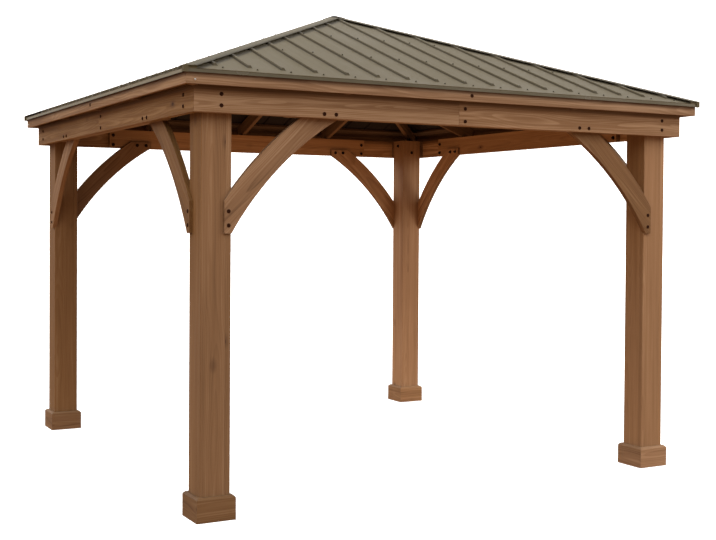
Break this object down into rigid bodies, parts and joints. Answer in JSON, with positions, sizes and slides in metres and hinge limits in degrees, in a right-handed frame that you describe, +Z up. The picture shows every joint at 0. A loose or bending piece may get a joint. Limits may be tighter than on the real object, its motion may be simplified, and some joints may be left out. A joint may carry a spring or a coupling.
{
  "type": "garden gazebo",
  "caption": "Open square garden gazebo: timber box posts on plinth bases, curved knee braces, bolted beams and a ribbed metal hip roof; a free-standing patio shelter.",
  "frame": {"origin": "on the ground under the peak, at the middle of the plan", "axes": "+Z up, +X along the front side to its right, the front faces -Y"},
  "size_m": [3.676, 3.676, 3.173],
  "materials": {
    "post_wood": "brown stained cedar, satin",
    "base_wood": "brown stained cedar, satin",
    "brace_wood": "brown stained cedar, satin",
    "beam_wood": "brown stained cedar, satin",
    "fascia_wood": "brown stained cedar, satin",
    "roof_frame_wood": "brown stained cedar, satin",
    "roof_metal": "matte taupe coating",
    "cap_metal": "matte taupe coating",
    "trim_metal": "matte taupe coating"
  },
  "bodies": {
    "root": {"post_front_left": "post_wood", "post_base_front_left": "base_wood", "hip_cap_front_left": "cap_metal", "post_front_right": "post_wood", "post_base_front_right": "base_wood", "hip_cap_front_right": "cap_metal", "post_back_right": "post_wood", "post_base_back_right": "base_wood", "hip_cap_back_right": "cap_metal", "post_back_left": "post_wood", "post_base_back_left": "base_wood", "hip_cap_back_left": "cap_metal", "brace_front_left": "brace_wood", "brace_front_right": "brace_wood", "beam_front": "beam_wood", "rafters_front": "roof_frame_wood", "fascia_front": "fascia_wood", "roof_front": "roof_metal", "brace_right_left": "brace_wood", "brace_right_right": "brace_wood", "beam_right": "beam_wood", "rafters_right": "roof_frame_wood", "fascia_right": "fascia_wood", "roof_right": "roof_metal", "brace_back_left": "brace_wood", "brace_back_right": "brace_wood", "beam_back": "beam_wood", "rafters_back": "roof_frame_wood", "fascia_back": "fascia_wood", "roof_back": "roof_metal", "brace_left_left": "brace_wood", "brace_left_right": "brace_wood", "beam_left": "beam_wood", "rafters_left": "roof_frame_wood", "fascia_left": "fascia_wood", "roof_left": "roof_metal", "inner_beam_boards": "beam_wood", "beam_spacers": "beam_wood", "hip_rafters": "roof_frame_wood", "peak_block": "roof_frame_wood", "battens": "roof_frame_wood", "eave_trim": "trim_metal", "peak_cap": "cap_metal"}
  },
  "joints": []
}
